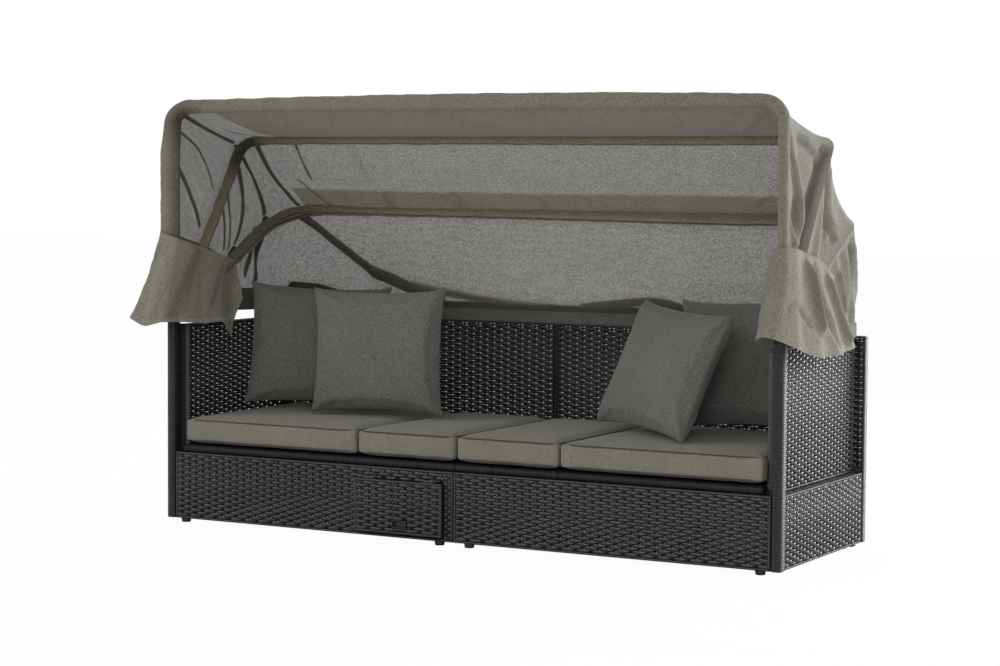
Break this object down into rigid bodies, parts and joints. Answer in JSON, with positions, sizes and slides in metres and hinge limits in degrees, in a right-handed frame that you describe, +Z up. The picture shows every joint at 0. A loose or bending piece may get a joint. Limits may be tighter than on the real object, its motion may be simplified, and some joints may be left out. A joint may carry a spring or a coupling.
{
  "type": "outdoor daybed with folding canopy",
  "caption": "Wicker daybed with seat and back cushions, a front storage flap and a folding cloth canopy hinged on its front posts.",
  "frame": {"origin": "bottom centre of the bounding box, on the floor", "axes": "+X along the bench to the right as seen from the front, +Y to the back panels, +Z up"},
  "size_m": [2.5488, 0.831, 1.4636],
  "materials": {
    "wicker": "woven flat synthetic strands, anthracite, slight gloss",
    "seat_board": "woven synthetic strands wrapped round a frame",
    "foot": "moulded, matt black",
    "bin": "moulded, matt black",
    "bearer": "powder coated, matt black",
    "hardware": "stainless steel",
    "bow_tube": "powder coated, dark brown",
    "canopy_cloth": "thin woven outdoor cloth, grey taupe, slightly see-through",
    "seat_fabric": "heather outdoor fabric, taupe, dark welted seams",
    "pillow_fabric": "heather outdoor fabric, dark grey"
  },
  "bodies": {
    "root": {"front_panel_left": "wicker", "front_panel_right": "wicker", "post_left": "wicker", "post_right": "wicker", "end_base_left": "wicker", "end_base_right": "wicker", "end_panel_left": "wicker", "end_panel_right": "wicker", "back_panel_left": "wicker", "back_panel_right": "wicker", "seat_board_wide_left": "seat_board", "seat_board_wide_right": "seat_board", "seat_board_narrow_left": "seat_board", "seat_board_narrow_right": "seat_board", "foot_front_outer_left": "foot", "foot_front_outer_right": "foot", "foot_front_inner_left": "foot", "foot_front_inner_right": "foot", "foot_rear_inner_left": "foot", "foot_rear_inner_right": "foot", "foot_rear_outer_left": "foot", "foot_rear_outer_right": "foot", "storage_bin": "bin", "bearer_left": "bearer", "bearer_right": "bearer", "bearer_centre": "bearer", "pivot_bracket_left": "bearer", "pivot_bracket_right": "bearer", "flap_pin_1": "hardware", "flap_pin_2": "hardware", "pivot_bolt_left": "hardware", "pivot_bolt_right": "hardware", "pivot_nut_left": "hardware", "pivot_nut_right": "hardware", "seat_cushion_wide_left": "seat_fabric", "seat_cushion_wide_right": "seat_fabric", "seat_cushion_narrow_left": "seat_fabric", "seat_cushion_narrow_right": "seat_fabric", "pillow_left_back": "pillow_fabric", "pillow_left_front": "pillow_fabric", "pillow_right_front": "pillow_fabric", "pillow_right_back": "pillow_fabric"},
    "bow_front": {"bow_front_leg_left": "bow_tube", "bow_front_leg_right": "bow_tube", "bow_front_bar": "bow_tube", "cover_front": "canopy_cloth"},
    "bow_middle": {"bow_middle_leg_left": "bow_tube", "bow_middle_leg_right": "bow_tube", "bow_middle_bar": "bow_tube", "cover_middle": "canopy_cloth", "skirt_left": "canopy_cloth", "skirt_right": "canopy_cloth"},
    "bow_back": {"bow_back_leg_left": "bow_tube", "bow_back_leg_right": "bow_tube", "bow_back_bar": "bow_tube", "cover_back": "canopy_cloth"},
    "flap": {"flap": "wicker", "flap_finger_pull": "bin", "flap_hinge_1": "wicker", "flap_hinge_2": "wicker"}
  },
  "joints": [
    {"name": "canopy_fold", "type": "hinge", "parent": "root", "child": "bow_back", "pos_m": [0, -0.30947, 0.745], "axis": [-1, 0, 0], "range_deg": [0, 31.3], "deforming": ["cover_back", "skirt_left", "skirt_right"]},
    {"name": "middle_bow_fold", "type": "hinge", "parent": "bow_back", "child": "bow_middle", "pos_m": [0, -0.30947, 0.745], "axis": [-1, 0, 0], "range_deg": [0, 24.8], "deforming": ["cover_middle"]},
    {"name": "front_bow_fold", "type": "hinge", "parent": "bow_middle", "child": "bow_front", "pos_m": [0, -0.30947, 0.745], "axis": [-1, 0, 0], "range_deg": [0, 30.31], "deforming": ["cover_front"]},
    {"name": "flap_hinge", "type": "hinge", "parent": "root", "child": "flap", "pos_m": [0, -0.33607, 0.21], "axis": [-1, 0, 0], "range_deg": [0, 90]}
  ],
  "couplings": [
    {"joint": "middle_bow_fold", "follows": "canopy_fold", "ratio": 0.7923},
    {"joint": "front_bow_fold", "follows": "canopy_fold", "ratio": 0.9681}
  ]
}
